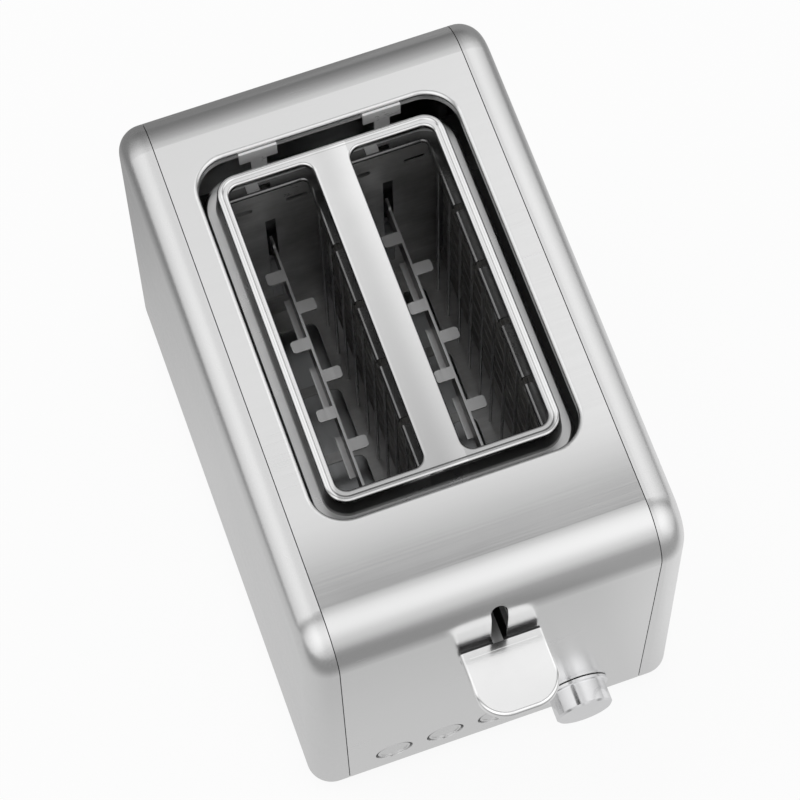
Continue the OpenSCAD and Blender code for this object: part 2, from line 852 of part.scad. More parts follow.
// Mica board standing at x, with lugs that reach the end plates
module heater_board(x) {
    color(mica) translate([x - board_t / 2, 0, 0]) {
        block([0, front_plate_y + 6, board_z0], [board_t, rear_plate_y - 6, board_z1]);
        for (z = [board_z0, board_z1 - board_lug_h])
            block([0, front_plate_y, z], [board_t, rear_plate_y, z + board_lug_h]);
    }
}

// Turns of flat ribbon round a board standing at x
module heating_ribbon(x) {
    z0 = board_z0 + board_lug_h + ribbon_margin;
    z1 = board_z1 - board_lug_h - ribbon_margin;
    step = (z1 - z0) / (ribbon_turns - 1);
    y0 = front_plate_y + 6;
    y1 = rear_plate_y - 6;
    h = board_t / 2;
    color(copper) translate([x, 0, 0]) for (i = [0:ribbon_turns - 1]) {
        z = z0 + i * step;
        difference() {
            block([-h - ribbon_t, y0 - ribbon_t, z - ribbon_w / 2],
                  [h + ribbon_t, y1 + ribbon_t, z + ribbon_w / 2]);
            block([-h, y0, z - ribbon_w], [h, y1, z + ribbon_w]);
        }
    }
}

module heater_board_outer_left() { heater_board(-outer_board_x); }
module heater_board_inner_left() { heater_board(-inner_board_x); }
module heater_board_inner_right() { heater_board(inner_board_x); }
module heater_board_outer_right() { heater_board(outer_board_x); }
module heating_ribbon_outer_left() { heating_ribbon(-outer_board_x); }
module heating_ribbon_inner_left() { heating_ribbon(-inner_board_x); }
module heating_ribbon_inner_right() { heating_ribbon(inner_board_x); }
module heating_ribbon_outer_right() { heating_ribbon(outer_board_x); }

// Two rows of upright wires that keep the bread off the heaters of one slot
module guard_wires() {
    z0 = bottom_z + chassis_t;
    z1 = plate_z - tab_drop;
    for (x = [wire_in, wire_out], i = [0:wire_count - 1])
        translate([x, slots_y + (i - (wire_count - 1) / 2) * notch_pitch / 2, z0])
            cylinder(d = wire_d, h = z1 - z0, $fn = 24);
}

module guard_wires_right() {
    color(bright) guard_wires();
}

module guard_wires_left() {
    color(bright) mirror([1, 0, 0]) guard_wires();
}

// ---- Bread carriage ------------------------------------------------------

// Bent tab at the top of a strip, reaching out to side s
module rack_tab(s) {
    r = 1.5;
    translate([s * tab_w / 2, 0, rack_z - chassis_t]) linear_extrude(chassis_t) {
        rounded(tab_w, tab_l, r);
        translate([-s * tab_w / 4, 0]) square([tab_w / 2, tab_l], center = true);
    }
}

// Upright strip with tabs bent left and right by turns, and feet bent left below
module rack(x) {
    color(galvanised) translate([x, 0, 0]) {
        block([-rack_t / 2, rack_front_y, rack_z0],
              [rack_t / 2, rear_plate_y + chassis_t + 2, rack_z - 4]);
        block([-rack_t / 2, front_plate_y + 4, rack_z - 4 - eps],
              [rack_t / 2, rear_plate_y - 2, rack_z]);
        block([-rack_t / 2, rear_plate_y - 2, rack_z - 5],
              [rack_t / 2, rear_plate_y + chassis_t + 2, rack_z + 2]);
        for (i = [0:rack_tabs - 1]) {
            y = rack_first_y - i * rack_pitch;
            translate([0, y, 0]) rack_tab(-1);
            translate([0, y - rack_pitch / 2, 0]) rack_tab(1);
            block([-rack_t / 2 - 3, y - rack_pitch / 2 - 11, rack_z0],
                  [0, y - rack_pitch / 2 + 11, rack_z0 + chassis_t]);
        }
    }
}

module carriage_rack_left() { rack(-rack_x); }
module carriage_rack_right() { rack(rack_x); }

// Plate that joins both racks, with the mast, its sleeve and the latch bracket
module slider_body() {
    y0 = slider_y - slider_t;
    ear_x = lever_x + spring_x;
    block([-slider_w / 2, y0, rack_z0], [slider_w / 2, slider_y, rack_z0 + slider_h]);
    block([lever_x - mast_w / 2, y0, rack_z0], [lever_x + mast_w / 2, slider_y, arm_z]);
    translate([lever_x, rod_y, rack_z0]) cylinder(r = sleeve_r, h = sleeve_h);
    block([lever_x - 3, rod_y, rack_z0], [lever_x + 3, y0 + eps, rack_z0 + sleeve_h]);
    block([lever_x - 6, magnet_y - magnet_d / 2, rack_z0 + latch_t],
          [lever_x + 6, rod_y, rack_z0 + latch_t + 2]);
    block([ear_x - 4, rod_y - 5, spring_foot_z - ear_t], [ear_x + 4, y0 + eps, spring_foot_z]);
    block([ear_x - 4, y0, rack_z0 + slider_h - eps], [ear_x + 4, slider_y, spring_foot_z]);
}

// Flat arm from the mast through the front of the shell into the paddle
module slider_arm() {
    y0 = rod_y - 14;
    block([lever_x - mast_w / 2, y0, arm_z], [lever_x + mast_w / 2, slider_y, arm_z + arm_t]);
    block([arm_x - arm_w / 2, paddle_y - paddle_l + 6, arm_z],
          [arm_x + arm_w / 2, y0 + eps, arm_z + arm_t]);
}

module carriage_slider() {
    color(galvanised) difference() {
        union() {
            slider_body();
            slider_arm();
        }
        translate([lever_x, rod_y, rack_z0 - 1]) cylinder(r = rod_d / 2 + run_gap, h = big);
    }
}

module latch_plate() {
    color(steel) block([lever_x - magnet_w / 2, magnet_y - magnet_d / 2, rack_z0],
                       [lever_x + magnet_w / 2, magnet_y + magnet_d / 2, rack_z0 + latch_t]);
}

module electromagnet_core() {
    y0 = magnet_y - magnet_d / 2 + magnet_cover;
    y1 = magnet_y + magnet_d / 2 - magnet_cover;
    z0 = magnet_z1 - magnet_h;
    z1 = z0 + magnet_leg;
    color(galvanised) {
        block([lever_x - magnet_w / 2, y0, z0], [lever_x + magnet_w / 2, y1, z1]);
        for (i = [-1:1])
            translate([lever_x + i * (magnet_w - magnet_leg) / 2, 0, 0])
                block([-magnet_leg / 2, y0, z1 - eps], [magnet_leg / 2, y1, magnet_z1]);
    }
}

module electromagnet_coil() {
    z0 = magnet_z1 - magnet_h + magnet_leg;
    color(copper) translate([lever_x, magnet_y, z0])
        linear_extrude(magnet_h - magnet_leg - 3) difference() {
            rounded(coil_w, magnet_d + magnet_cover, 3);
            square([magnet_leg, magnet_d - 2 * magnet_cover], center = true);
        }
}

module guide_rod() {
    color(bright) translate([lever_x, rod_y, floor_z])
        cylinder(d = rod_d, h = plate_z - chassis_t - 1 - floor_z);
}

// Points of one ring of a round wire that follows a helix, k steps along it
function helix_ring(k, steps, turns, r, wire_r, h, sides) =
    let (a = 360 * turns * k / steps, z = h * k / steps)
    [for (j = [0:sides - 1]) let (b = 360 * j / sides)
        [(r + wire_r * cos(b)) * cos(a), (r + wire_r * cos(b)) * sin(a), z + wire_r * sin(b)]];

// Coil spring of round wire standing on z = 0
module coil(turns, r, wire_r, h) {
    per_turn = 14;
    sides = 6;
    steps = turns * per_turn;
    rings = [for (k = [0:steps]) each helix_ring(k, steps, turns, r, wire_r, h, sides)];
    walls = [for (k = [0:steps - 1], j = [0:sides - 1])
        let (n = (j + 1) % sides)
        each [[k * sides + j, (k + 1) * sides + j, k * sides + n],
              [k * sides + n, (k + 1) * sides + j, (k + 1) * sides + n]]];
    caps = [[for (j = [0:sides - 1]) j],
            [for (j = [sides - 1:-1:0]) steps * sides + j]];
    polyhedron(rings, concat(walls, caps), convexity = 10);
}

module lift_spring() {
    color(steel) translate([lever_x + spring_x, rod_y, spring_foot_z + spring_wire_r])
        coil(spring_coils, spring_r, spring_wire_r,
             plate_z - chassis_t - 3 - spring_foot_z - 2 * spring_wire_r);
}

// ---- Lever ---------------------------------------------------------------

// D-shaped plan of the paddle, inset by d, between its rear edge and rounded front
module paddle_plan(d) {
    intersection() {
        rounded(paddle_w - 2 * d, 2 * paddle_l - 2 * d, paddle_r - d);
        translate([-paddle_w, -2 * paddle_l]) square([2 * paddle_w, 2 * paddle_l]);
    }
}

module lever_paddle() {
    w = paddle_w - 2 * paddle_edge_r;
    l = 2 * paddle_l - 2 * paddle_edge_r;
    r = paddle_r - paddle_edge_r;
    color(bright) translate([lever_x, paddle_y, paddle_z]) difference() {
        union() {
            translate([0, 0, -paddle_edge_r]) sweep_round(w, l, r)
                quarter(paddle_edge_r, paddle_edge_r - paddle_skin);
            translate([0, 0, -paddle_t]) sweep_round(w, l, r)
                translate([paddle_edge_r - paddle_skin, 0])
                    square([paddle_skin, paddle_t - paddle_edge_r]);
            translate([0, 0, -paddle_skin]) linear_extrude(paddle_skin) rounded(w, l, r);
        }
        block([-big, 0, -big], [big, big, big]);
        translate([0, 0, -0.4]) linear_extrude(2) intersection() {
            rounded(paddle_w - 7, 2 * paddle_l - 7, paddle_r - 3.5);
            translate([-paddle_w, -2 * paddle_l]) square([2 * paddle_w, 2 * paddle_l - 3]);
        }
    }
}

// Plastic core of the paddle, with a shield behind it that covers the lever's slot
module lever_core() {
    z0 = paddle_z - paddle_t - 0.6;
    z1 = paddle_z - paddle_skin;
    core_x = paddle_w / 2 - paddle_skin - core_gap;
    shield_x = paddle_w / 2 - shield_inset;
    color(black) translate([lever_x, paddle_y, 0]) difference() {
        union() {
            translate([0, 0, z0]) linear_extrude(z1 - z0) paddle_plan(paddle_skin + core_gap);
            block([-core_x, -1, z0], [core_x, shield_t, z1]);
            block([-shield_x, 0, paddle_z - shield_h], [shield_x, shield_t, z1]);
        }
        block([-arm_shift - arm_w / 2, arm_pocket - paddle_l, arm_z],
              [-arm_shift + arm_w / 2, shield_t + 1, z1 + 1]);
    }
}

// ---- Controls ------------------------------------------------------------

module control_board() {
    color([0.12, 0.3, 0.16]) difference() {
        block([pcb_x0, board_y, pcb_z0], [pcb_x1, board_y + pcb_t, pcb_z1]);
        for (x = [pcb_x0 + pcb_margin / 2, pcb_x1 - pcb_margin / 2])
            bar_y(x, pcb_z1 - pcb_margin / 2, pcb_hole_r, board_y - 1, board_y + pcb_t + 1);
    }
}

// Relay, plug housing and capacitors on the back of the control board
module board_components() {
    y = board_y + pcb_t;
    relay_x = pcb_x0 + pcb_margin;
    plug_x = pcb_x1 - pcb_margin - relay_w;
    low_z = pcb_z0 + pcb_margin;
    cap_z = pcb_z1 - pcb_margin - capacitor_r;
    color([0.2, 0.22, 0.3]) {
        block([relay_x, y, low_z], [relay_x + relay_w, y + relay_d, low_z + relay_h]);
        block([plug_x, y, low_z], [plug_x + relay_w, y + plug_d, low_z + plug_h]);
        for (x = [relay_x + capacitor_r, relay_x + 4 * capacitor_r])
            bar_y(x, cap_z, capacitor_r, y, y + capacitor_l);
        bar_y(plug_x + relay_w / 2, cap_z, capacitor_r + 1, y, y + capacitor_l + 2);
    }
}

module button_switches() {
    h = switch_w / 2;
    color(black) for (i = [0:2]) {
        x = button_x + i * button_pitch;
        block([x - h, board_y - switch_d, row_z - h], [x + h, board_y, row_z + h]);
        bar_y(x, row_z, 1.7, board_y - switch_d - plunger_l, board_y - switch_d + eps);
    }
}

// Moulded plate behind the panel that guides the three buttons
module button_guide() {
    x1 = button_x + 2 * button_pitch;
    wing = 5;
    foot_y1 = board_y;
    color(black) difference() {
        union() {
            block([button_x - button_hole_r - wing, panel_in_y, row_z - button_hole_r - 3],
                  [x1 + button_hole_r + wing, panel_in_y + guide_t, row_z + button_hole_r + 3]);
            for (x = [button_x - button_hole_r - wing + 1, x1 + button_hole_r + wing - 3])
                block([x, panel_in_y, row_z - 6], [x + 2, foot_y1, row_z + 6]);
        }
        for (i = [0:2])
            bar_y(button_x + i * button_pitch, row_z, button_d / 2 + run_gap + 0.02,
                  front_y, panel_in_y + guide_t + 1);
    }
}

// Push button with a shallow dished face, a retaining flange and a stem
module push_button(i) {
    x = button_x + i * button_pitch;
    head_y = panel_in_y + guide_t + 0.3;
    stem_y = board_y - switch_d - plunger_l - button_travel - 0.2;
    color(satin) {
        difference() {
            bar_y(x, row_z, button_d / 2, button_face_y, head_y + eps);
            bar_y(x, row_z, button_d / 2 - 1.2, button_face_y - 1, button_face_y + 0.25);
        }
        bar_y(x, row_z, button_d / 2 + 1, head_y, head_y + button_flange_t);
        bar_y(x, row_z, 2.5, head_y, stem_y);
    }
}

module button_left() { push_button(0); }
module button_middle() { push_button(1); }
module button_right() { push_button(2); }

module browning_control() {
    color(galvanised) difference() {
        union() {
            bar_y(knob_x, row_z, pot_d / 2 - 2, board_y - pot_l, board_y);
            block([knob_x - 4, board_y - pot_l + 2, row_z - pot_d / 2 + 1],
                  [knob_x + 4, board_y - 1, row_z]);
            bar_y(knob_x, row_z, 4.4, board_y - pot_l - 4, board_y - pot_l + eps);
        }
        bar_y(knob_x, row_z, shaft_d / 2 + run_gap, board_y - pot_l - 5, board_y - 2);
    }
}

module knob_shaft() {
    y1 = board_y - 3;
    color(steel) difference() {
        bar_y(knob_x, row_z, shaft_d / 2, front_y - knob_l + 3, y1);
        block([knob_x - 5, front_y - knob_l, row_z + shaft_d / 2 - 1.2],
              [knob_x + 5, front_y - 2, row_z + shaft_d]);
    }
}

module browning_knob() {
    r = knob_d / 2;
    fr = knob_flange_d / 2;
    inner = knob_back_y - (front_y - knob_l);
    bore_y = knob_back_y - front_y + knob_l - 3;
    color(bright) translate([knob_x, knob_back_y, row_z]) rotate([90, 0, 0]) difference() {
        rotate_extrude() polygon([[0, 0], [fr, 0], [fr, knob_flange_t - 0.5],
                                  [fr - 0.5, knob_flange_t], [r, knob_flange_t],
                                  [r, inner - knob_bevel], [r - knob_bevel, inner], [0, inner]]);
        translate([0, 0, -1]) difference() {
            cylinder(r = shaft_d / 2 + 0.02, h = bore_y + 1);
            block([-5, shaft_d / 2 - 1.2 + 0.02, 3], [5, shaft_d, bore_y + 2]);
        }
    }
}

// ---- Assembly ------------------------------------------------------------

top_shell();
left_side_panel();
right_side_panel();
base_frame();
rubber_feet();
base_screws();
crumb_tray();
crumb_tray_handle();
cord_inlet();
slot_frame();
chassis_top_plate();
chassis_bottom_plate();
front_end_plate();
rear_end_plate();
left_reflector();
right_reflector();
heater_board_outer_left();
heater_board_inner_left();
heater_board_inner_right();
heater_board_outer_right();
heating_ribbon_outer_left();
heating_ribbon_inner_left();
heating_ribbon_inner_right();
heating_ribbon_outer_right();
guard_wires_left();
guard_wires_right();
carriage_rack_left();
carriage_rack_right();
carriage_slider();
latch_plate();
lever_core();
lever_paddle();
guide_rod();
lift_spring();
electromagnet_core();
electromagnet_coil();
control_board();
board_components();
button_switches();
button_guide();
button_left();
button_middle();
button_right();
browning_control();
knob_shaft();
browning_knob();
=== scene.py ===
import json
import math

import bmesh
import bpy
from mathutils import Matrix, Vector

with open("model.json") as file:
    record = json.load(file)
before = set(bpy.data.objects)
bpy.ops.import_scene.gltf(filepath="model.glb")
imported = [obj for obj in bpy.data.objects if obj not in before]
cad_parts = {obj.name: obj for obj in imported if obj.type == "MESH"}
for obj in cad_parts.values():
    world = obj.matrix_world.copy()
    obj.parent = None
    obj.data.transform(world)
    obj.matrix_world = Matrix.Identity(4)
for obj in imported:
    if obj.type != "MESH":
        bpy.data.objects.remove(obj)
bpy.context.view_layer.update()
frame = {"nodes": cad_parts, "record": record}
NODES = frame["nodes"]

# Lengths are in metres, as in the frame

# The top sheet bows from this Y towards the front, with this change of slope per metre
CROWN_FROM = -0.055
CROWN_BEND = 2.6
# The frame's bridge bows across its half width, with this change of slope per metre
BRIDGE_HALF = 0.0088
BRIDGE_BEND = 14.0
# Heights of the frame's ledge and of the lower edge of its bead, below which its colour is
# painted darker as shade, and its rear edge
LEDGE_TOP = 0.1815
LEDGE_BLEND = 0.002
BEAD_LOW = 0.1934
BEAD_BLEND = 0.0012
RIM_REAR = 0.1105
# Inner edge of the frame's bead, half across and at the front, and the run along Y over which
# the painted shade on its flats goes from dark at the front to none
FLAT_HALF = 0.0505
FLAT_FRONT = -0.0535
FLAT_SHADE_RUN = (-0.06, 0.085)
FLAT_SHADE_LEVEL = 0.62
EDGE_BLEND = 0.001

# ---------------------------------------------------------------- node helpers


def grey(level):
    return (level, level, level)


def tint(base, k):
    return tuple(min(1.0, c * k) for c in base)


class Tree:
    """Short calls for building a shader node tree."""

    def __init__(self, owner):
        owner.use_nodes = True
        self.t = owner.node_tree
        self.t.nodes.clear()

    def add(self, kind, **props):
        n = self.t.nodes.new(kind)
        for k, v in props.items():
            setattr(n, k, v)
        return n

    def put(self, socket, value):
        if isinstance(value, bpy.types.NodeSocket):
            self.t.links.new(value, socket)
        else:
            socket.default_value = value

    def math(self, op, a, b=0.0, clamp=False):
        n = self.add("ShaderNodeMath", operation=op, use_clamp=clamp)
        self.put(n.inputs[0], a)
        self.put(n.inputs[1], b)
        return n.outputs[0]

    def coords(self, scale=(1, 1, 1)):
        c = self.add("ShaderNodeTexCoord")
        m = self.add("ShaderNodeMapping")
        self.put(m.inputs["Vector"], c.outputs["Object"])
        m.inputs["Scale"].default_value = scale
        return m.outputs[0]

    def split(self, vector):
        n = self.add("ShaderNodeSeparateXYZ")
        self.put(n.inputs[0], vector)
        return n.outputs

    def noise(self, vector, scale, detail=3.0, rough=0.5):
        n = self.add("ShaderNodeTexNoise")
        self.put(n.inputs["Vector"], vector)
        n.inputs["Scale"].default_value = scale
        n.inputs["Detail"].default_value = detail
        n.inputs["Roughness"].default_value = rough
        return n.outputs["Fac"]

    def remap(self, value, lo, hi, a=0.3, b=0.7):
        """Value's run from a to b turned into the run from lo to hi, clamped."""
        n = self.add("ShaderNodeMapRange")
        self.put(n.inputs["Value"], value)
        for name, v in (("From Min", a), ("From Max", b), ("To Min", lo), ("To Max", hi)):
            n.inputs[name].default_value = v
        return n.outputs[0]

    def mix(self, fac, a, b):
        n = self.add("ShaderNodeMix", data_type="RGBA")
        self.put(n.inputs["Factor"], fac)
        # sockets 6 and 7 are A and B for colours, and output 2 is their result
        for s, v in ((n.inputs[6], a), (n.inputs[7], b)):
            self.put(s, v if isinstance(v, bpy.types.NodeSocket) else (*v, 1.0))
        return n.outputs[2]

    def bump(self, height, strength, distance, normal=None):
        n = self.add("ShaderNodeBump")
        n.inputs["Strength"].default_value = strength
        n.inputs["Distance"].default_value = distance
        self.put(n.inputs["Height"], height)
        if normal is not None:
            self.put(n.inputs["Normal"], normal)
        return n.outputs[0]

    def bowed(self, run, bend):
        """Height that falls with the square of the run."""
        return self.math("MULTIPLY", self.math("MULTIPLY", run, run), -bend / 2)

    def crown(self, bridge=False):
        """Normal of a sheet that bows down a little towards the front bend."""
        x, y, _ = self.split(self.coords())
        run = self.math("MAXIMUM", self.math("SUBTRACT", CROWN_FROM, y), 0.0)
        height = self.bowed(run, CROWN_BEND)
        if bridge:
            across = self.math("MINIMUM", self.math("ABSOLUTE", x), BRIDGE_HALF)
            height = self.math("ADD", height, self.bowed(across, BRIDGE_BEND))
        return self.bump(height, 1.0, 1.0)

    def surface(self, **sockets):
        p = self.add("ShaderNodeBsdfPrincipled")
        for name, v in sockets.items():
            if isinstance(v, tuple) and len(v) == 3:
                v = (*v, 1.0)
            self.put(p.inputs[name.replace("_", " ")], v)
        self.output("ShaderNodeOutputMaterial", p)

    def emitter(self, kind, **sockets):
        n = self.add(kind)
        for name, v in sockets.items():
            self.put(n.inputs[name], v)
        return n

    def choose(self, fac, first, second):
        """The first shader where fac is 0, the second where it is 1."""
        n = self.add("ShaderNodeMixShader")
        self.put(n.inputs[0], fac)
        self.put(n.inputs[1], first.outputs[0])
        self.put(n.inputs[2], second.outputs[0])
        return n

    def output(self, kind, shader):
        self.put(self.add(kind).inputs[0], shader.outputs[0])


def new_tree(name):
    m = bpy.data.materials.new(name)
    return m, Tree(m)


# ---------------------------------------------------------------- kinds of material


def brushed(name, base, rough, grain=(12, 900, 900), spread=0.05, streak=0.035,
            bump=0.04, crowned=False):
    """Metal with fine lines along its long grain axis and slow changes of tone."""
    m, t = new_tree(name)
    lines = t.noise(t.coords(grain), 1.0, 4.0, 0.6)
    cloud = t.noise(t.coords(), 14.0, 3.0, 0.55)
    tone = t.math("ADD", t.remap(lines, -streak, streak), t.remap(cloud, -0.02, 0.02))
    fac = t.math("ADD", tone, 0.5, clamp=True)
    r = t.math("ADD", t.remap(lines, -spread, spread),
               t.remap(cloud, rough - 0.02, rough + 0.02))
    under = t.crown() if crowned else None
    t.surface(Base_Color=t.mix(fac, tint(base, 0.8), tint(base, 1.2)), Metallic=1.0,
              Roughness=r, Normal=t.bump(lines, bump, 0.0002, under))
    return m


def satin(name, base, rough):
    """Fine-grained satin metal or metallic paint."""
    m, t = new_tree(name)
    grain = t.noise(t.coords(), 5000.0, 2.0, 0.5)
    cloud = t.noise(t.coords(), 11.0, 3.0, 0.5)
    colour = t.mix(t.remap(grain, 0.3, 0.7), tint(base, 0.94), tint(base, 1.06))
    r = t.math("ADD", t.remap(cloud, -0.02, 0.02),
               t.remap(grain, rough - 0.03, rough + 0.03))
    t.surface(Base_Color=colour, Metallic=1.0, Roughness=r,
              Normal=t.bump(grain, 0.05, 0.0001))
    return m


def wiped(t, base):
    """Colour and two noises of polished metal with a faint haze of wiping marks."""
    haze_map = t.noise(t.coords(), 60.0, 4.0, 0.6)
    fine = t.noise(t.coords((200, 1400, 600)), 1.0, 3.0, 0.6)
    colour = t.mix(t.remap(haze_map, 0.0, 1.0), tint(base, 0.97), tint(base, 1.02))
    return colour, haze_map, fine


def polished(name, base, rough, haze):
    """Polished metal."""
    m, t = new_tree(name)
    colour, haze_map, fine = wiped(t, base)
    r = t.math("ADD", t.remap(haze_map, rough - haze, rough + haze),
               t.remap(fine, 0.0, haze))
    t.surface(Base_Color=colour, Metallic=1.0, Roughness=r,
              Normal=t.bump(fine, 0.01, 0.0001))
    return m


def pressed_frame(name, bright, ledge, wall):
    """Pressed frame: polished rim, duller ledge and hooks; painted shade darkens the ledge,
    the drawn wall between them and the flats towards the front.
    """
    m, t = new_tree(name)
    colour, haze_map, fine = wiped(t, bright)
    x, y, z = t.split(t.coords())
    below = t.remap(z, 1.0, 0.0, BEAD_LOW - BEAD_BLEND, BEAD_LOW)
    low = t.remap(z, 1.0, 0.0, LEDGE_TOP, LEDGE_TOP + LEDGE_BLEND)
    rear = t.remap(y, 0.0, 1.0, RIM_REAR, RIM_REAR + EDGE_BLEND)
    # the flats inside the bead, painted darker towards the control end as shade
    inside = t.remap(t.math("ABSOLUTE", x), 1.0, 0.0, FLAT_HALF - EDGE_BLEND, FLAT_HALF)
    behind = t.remap(y, 0.0, 1.0, FLAT_FRONT - EDGE_BLEND, FLAT_FRONT)
    painted_front_shade = t.math("MULTIPLY", t.math("MULTIPLY", inside, behind),
                  t.remap(y, 1.0, 0.0, *FLAT_SHADE_RUN))
    colour = t.mix(painted_front_shade, colour, tint(bright, FLAT_SHADE_LEVEL))
    # painted shade: the drawn wall below the bead near black, the ledge a darker grey
    colour = t.mix(below, colour, wall)
    colour = t.mix(low, colour, ledge)
    colour = t.mix(rear, colour, tint(ledge, 1.3))
    dull = t.math("MAXIMUM", below, rear)
    r = t.math("ADD", t.remap(haze_map, 0.14, 0.18), t.remap(fine, 0.0, 0.02))
    r = t.math("ADD", r, t.math("MULTIPLY", dull, 0.12))
    metallic = t.math("SUBTRACT", 1.0, t.math("MULTIPLY", rear, 0.75))
    t.surface(Base_Color=colour, Metallic=metallic, Roughness=r,
              Normal=t.bump(fine, 0.01, 0.0001, t.crown(bridge=True)))
    return m


def heated(name, base, scorch, rough, grain=(40, 500, 500), metallic=0.65):
    """Plated sheet that heat has browned and dulled in patches."""
    m, t = new_tree(name)
    patch = t.noise(t.coords(), 26.0, 5.0, 0.6)
    lines = t.noise(t.coords(grain), 1.0, 3.0, 0.6)
    colour = t.mix(t.remap(patch, 0.0, 1.0, 0.35, 0.7), base, scorch)
    colour = t.mix(t.remap(lines, 0.0, 0.25), colour, tint(base, 0.5))
    r = t.math("ADD", t.remap(patch, rough - 0.08, rough + 0.1),
               t.remap(lines, -0.03, 0.03))
    t.surface(Base_Color=colour, Metallic=metallic, Roughness=r,
              Normal=t.bump(lines, 0.05, 0.0002))
    return m


def moulded(name, base, rough, pebble=1800.0, bump=0.12):
    """Moulded plastic or rubber with a fine pebbled skin."""
    m, t = new_tree(name)
    skin = t.noise(t.coords(), pebble, 2.0, 0.5)
    cloud = t.noise(t.coords(), 18.0, 3.0, 0.5)
    colour = t.mix(t.remap(cloud, 0.0, 1.0), tint(base, 0.85), tint(base, 1.2))
    r = t.math("ADD", t.remap(cloud, rough - 0.04, rough + 0.04),
               t.remap(skin, -0.03, 0.03))
    t.surface(Base_Color=colour, Metallic=0.0, Roughness=r, IOR=1.48,
              Normal=t.bump(skin, bump, 0.0002))
    return m


def mica(name):
    """Pressed sheet of mica flakes."""
    m, t = new_tree(name)
    flake = t.add("ShaderNodeTexVoronoi")
    t.put(flake.inputs["Vector"], t.coords())
    flake.inputs["Scale"].default_value = 130.0
    edge = flake.outputs["Distance"]
    cloud = t.noise(t.coords(), 40.0, 4.0, 0.6)
    colour = t.mix(t.remap(edge, 0.0, 1.0, 0.0, 0.8),
                   (0.19, 0.185, 0.175), (0.33, 0.32, 0.305))
    colour = t.mix(t.remap(cloud, 0.0, 0.6), colour, (0.10, 0.098, 0.094))
    t.surface(Base_Color=colour, Metallic=0.0, Roughness=t.remap(cloud, 0.3, 0.55),
              Normal=t.bump(edge, 0.2, 0.0003))
    return m


def windings(name, base):
    """Enamelled wire laid in fine turns."""
    m, t = new_tree(name)
    w = t.add("ShaderNodeTexWave", wave_type="BANDS", bands_direction="Z")
    t.put(w.inputs["Vector"], t.coords())
    w.inputs["Scale"].default_value = 900.0
    w.inputs["Distortion"].default_value = 0.3
    turn = w.outputs["Fac"]
    t.surface(Base_Color=t.mix(turn, tint(base, 0.45), tint(base, 1.15)), Metallic=0.3,
              Roughness=t.remap(turn, 0.25, 0.5, 0, 1), Normal=t.bump(turn, 0.6, 0.0003))
    return m


def board(name):
    """Circuit board with faint tracks under its lacquer."""
    m, t = new_tree(name)
    b = t.add("ShaderNodeTexBrick")
    t.put(b.inputs["Vector"], t.coords())
    b.inputs["Scale"].default_value = 130.0
    b.inputs["Mortar Size"].default_value = 0.03
    track = b.outputs["Fac"]
    cloud = t.noise(t.coords(), 60.0, 3.0, 0.5)
    colour = t.mix(track, (0.02, 0.11, 0.045), (0.05, 0.2, 0.09))
    colour = t.mix(t.remap(cloud, 0.0, 0.4), colour, (0.015, 0.07, 0.03))
    t.surface(Base_Color=colour, Metallic=0.0, Roughness=t.remap(cloud, 0.25, 0.4),
              Normal=t.bump(track, 0.2, 0.0002))
    return m


# ---------------------------------------------------------------- materials

MATERIALS = {
    "shell_steel": brushed("shell_steel_satin", grey(0.80), 0.24, grain=(9, 1100, 1100),
                           spread=0.03, streak=0.012, bump=0.015, crowned=True),
    "side_panel": satin("side_panel_silver", grey(0.76), 0.27),
    "base_plastic": moulded("base_black_plastic", (0.028, 0.028, 0.029), 0.42),
    "feet_rubber": moulded("feet_black_rubber", grey(0.03), 0.72, 900.0, 0.2),
    "zinc_steel": satin("zinc_plated_steel", (0.58, 0.59, 0.60), 0.34),
    "tray_steel": brushed("tray_rolled_sheet", (0.62, 0.63, 0.64), 0.36,
                          grain=(700, 14, 700)),
    # the ledge grey and the near-black wall grey are painted shade
    "polished_steel": pressed_frame("slot_frame_polished", grey(0.77), grey(0.55),
                                    grey(0.06)),
    "chassis_steel": heated("chassis_dark_sheet", grey(0.62), (0.38, 0.38, 0.375), 0.36),
    "reflector_steel": heated("reflector_dark_sheet", grey(0.42), (0.25, 0.245, 0.24),
                              0.36, (500, 30, 500)),
    "carriage_steel": brushed("carriage_plated_strip", grey(0.56), 0.4,
                              grain=(600, 20, 600)),
    "lever_chrome": polished("lever_chrome_plate", grey(0.97), 0.15, 0.015),
    "spring_steel": brushed("spring_drawn_wire", (0.45, 0.45, 0.46), 0.3),
    "copper_wire": windings("coil_enamelled_wire", (0.45, 0.19, 0.07)),
    "circuit_board": board("control_board_laminate"),
    "electronic_parts": moulded("electronic_part_body", (0.05, 0.055, 0.07), 0.4,
                                2500.0, 0.05),
    "button_satin": satin("button_satin_silver", grey(0.74), 0.28),
    "knob_chrome": polished("knob_satin_chrome", (0.86, 0.86, 0.87), 0.12, 0.02),
    "wire_steel": brushed("guard_wire_steel", grey(0.62), 0.28, grain=(900, 900, 30)),
    "mica_sheet": mica("mica_sheet_flakes"),
    "heater_ribbon": heated("heater_ribbon_oxide", (0.3, 0.3, 0.295),
                            (0.16, 0.155, 0.15), 0.4),
}
# The top plate's colour is painted darker than the rest of the chassis as shade under the
# slot frame, and it keeps its rolled sheen
OWN_MATERIALS = {
    "chassis_top_plate": heated("chassis_top_sheet_shaded", grey(0.24), (0.15, 0.15, 0.148),
                                0.22, metallic=0.9),
}

for part in frame["record"]["subparts"]:
    obj = NODES[part["node"]]
    material = OWN_MATERIALS.get(part["node"], MATERIALS[part["material_slot"]])
    if not obj.material_slots:
        obj.data.materials.append(material)
    for slot in obj.material_slots:
        slot.material = material

# ---------------------------------------------------------------- floor

